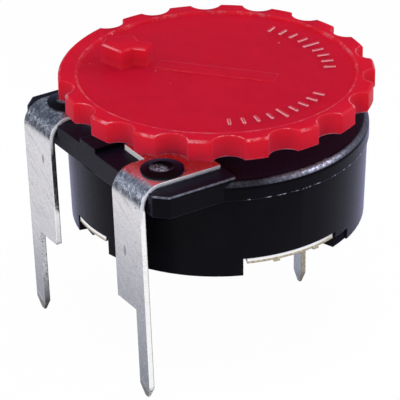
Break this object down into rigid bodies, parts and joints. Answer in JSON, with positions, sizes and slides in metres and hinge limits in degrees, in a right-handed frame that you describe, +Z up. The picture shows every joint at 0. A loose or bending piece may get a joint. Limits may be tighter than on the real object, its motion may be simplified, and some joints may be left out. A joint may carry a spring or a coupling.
{
  "type": "trimmer potentiometer",
  "caption": "Round single-turn trimmer potentiometer with a toothed thumbwheel and pointer on top, staked end terminals and solder pins for a circuit board.",
  "frame": {"origin": "on the rotor's axis, level with the tips of the three solder pins", "axes": "+Z up along the rotor's axis, +X from the left end terminal to the right one, end terminals' row at -Y, wiper pin at +Y"},
  "size_m": [0.0154, 0.0155, 0.0144],
  "materials": {
    "wheel_plastic": "glossy moulded red plastic",
    "housing_plastic": "satin moulded black plastic",
    "terminal_metal": "tinned brass strip, bare brass on the cut edges",
    "phenolic": "brown phenolic laminate",
    "carbon_film": "matt printed carbon film",
    "silver_film": "printed silver film",
    "rotor_plastic": "natural moulded plastic",
    "spring_bronze": "phosphor bronze spring strip"
  },
  "bodies": {
    "base": {"housing": "housing_plastic", "end_terminal_left": "terminal_metal", "end_terminal_right": "terminal_metal", "collector_terminal": "terminal_metal", "track_carrier": "phenolic", "carbon_track": "carbon_film", "track_end_pads": "silver_film"},
    "wheel": {"thumbwheel": "wheel_plastic", "rotor": "rotor_plastic", "wiper_contact": "spring_bronze"}
  },
  "joints": [
    {"name": "wheel_turn", "type": "hinge", "parent": "base", "child": "wheel", "pos_m": [0, 0, 0.01135], "axis": [0, 0, 1], "range_deg": [-262, 0]}
  ]
}
